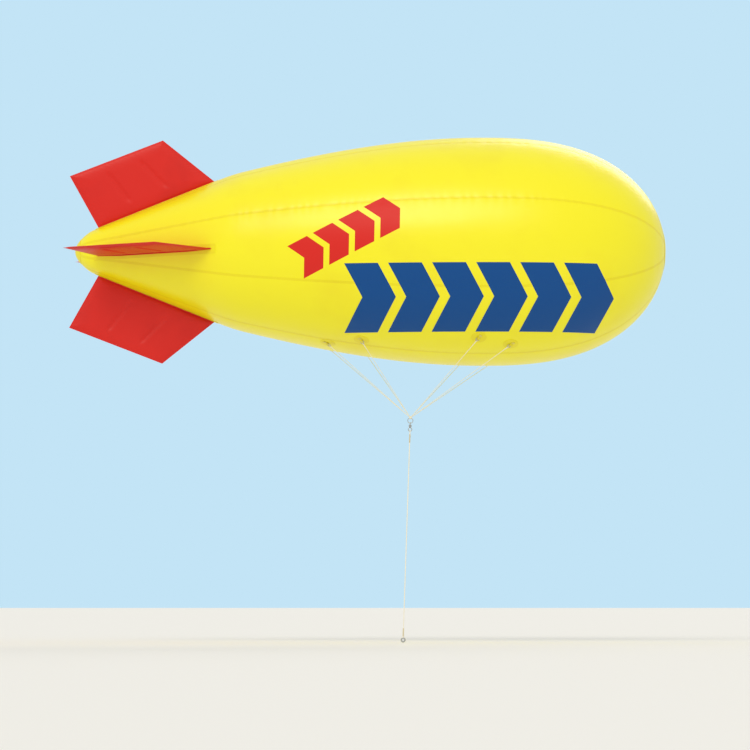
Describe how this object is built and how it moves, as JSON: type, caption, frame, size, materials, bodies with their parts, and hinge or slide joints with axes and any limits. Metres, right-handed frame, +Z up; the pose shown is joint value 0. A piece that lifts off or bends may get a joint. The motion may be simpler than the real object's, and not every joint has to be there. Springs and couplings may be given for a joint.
{
  "type": "advertising blimp balloon",
  "caption": "Tethered teardrop helium balloon with flat inflated tail fins, bridle cords to a steel ring, and a swivel, tether line and thimble below.",
  "frame": {"origin": "the hull's centre of buoyancy, on the hull's axis, where the air's lift holds the part up", "axes": "+X along the hull towards the nose, +Y to port, +Z up"},
  "size_m": [5.0543, 1.934, 4.273],
  "materials": {
    "hull_film": "glossy yellow coated film",
    "fin_film": "glossy red coated film",
    "cord": "cream braided cord",
    "steel": "satin stainless steel",
    "valve_plastic": "white moulded plastic"
  },
  "bodies": {
    "balloon": {"gore_1": "hull_film", "gore_2": "hull_film", "gore_3": "hull_film", "gore_4": "hull_film", "gore_5": "hull_film", "gore_6": "hull_film", "gore_7": "hull_film", "gore_8": "hull_film", "nose_cap": "hull_film", "tail_cap": "hull_film", "fin_top": "fin_film", "fin_starboard": "fin_film", "fin_bottom": "fin_film", "fin_port": "fin_film", "fin_root_top": "hull_film", "fin_root_starboard": "hull_film", "fin_root_bottom": "hull_film", "fin_root_port": "hull_film", "patch_aft_stbd": "hull_film", "patch_mid_aft_stbd": "hull_film", "patch_mid_fore_stbd": "hull_film", "patch_fore_stbd": "hull_film", "patch_aft_port": "hull_film", "patch_mid_aft_port": "hull_film", "patch_mid_fore_port": "hull_film", "patch_fore_port": "hull_film", "leg_aft_stbd": "cord", "leg_mid_aft_stbd": "cord", "leg_mid_fore_stbd": "cord", "leg_fore_stbd": "cord", "leg_aft_port": "cord", "leg_mid_aft_port": "cord", "leg_mid_fore_port": "cord", "leg_fore_port": "cord", "bridle_knot": "cord", "load_ring": "steel", "swivel_upper": "steel", "valve_body": "valve_plastic", "valve_cap": "valve_plastic"},
    "tether": {"swivel_lower": "steel", "tether_eye_top": "cord", "tether_line": "cord", "tether_eye_foot": "cord", "tether_whipping_top": "cord", "tether_whipping_foot": "cord", "tether_thimble": "steel"}
  },
  "joints": [
    {"name": "tether_swivel", "type": "hinge", "parent": "balloon", "child": "tether", "pos_m": [-0.1125, 0, -1.47747], "axis": [0.0336, 0, 0.9994], "continuous": true}
  ]
}
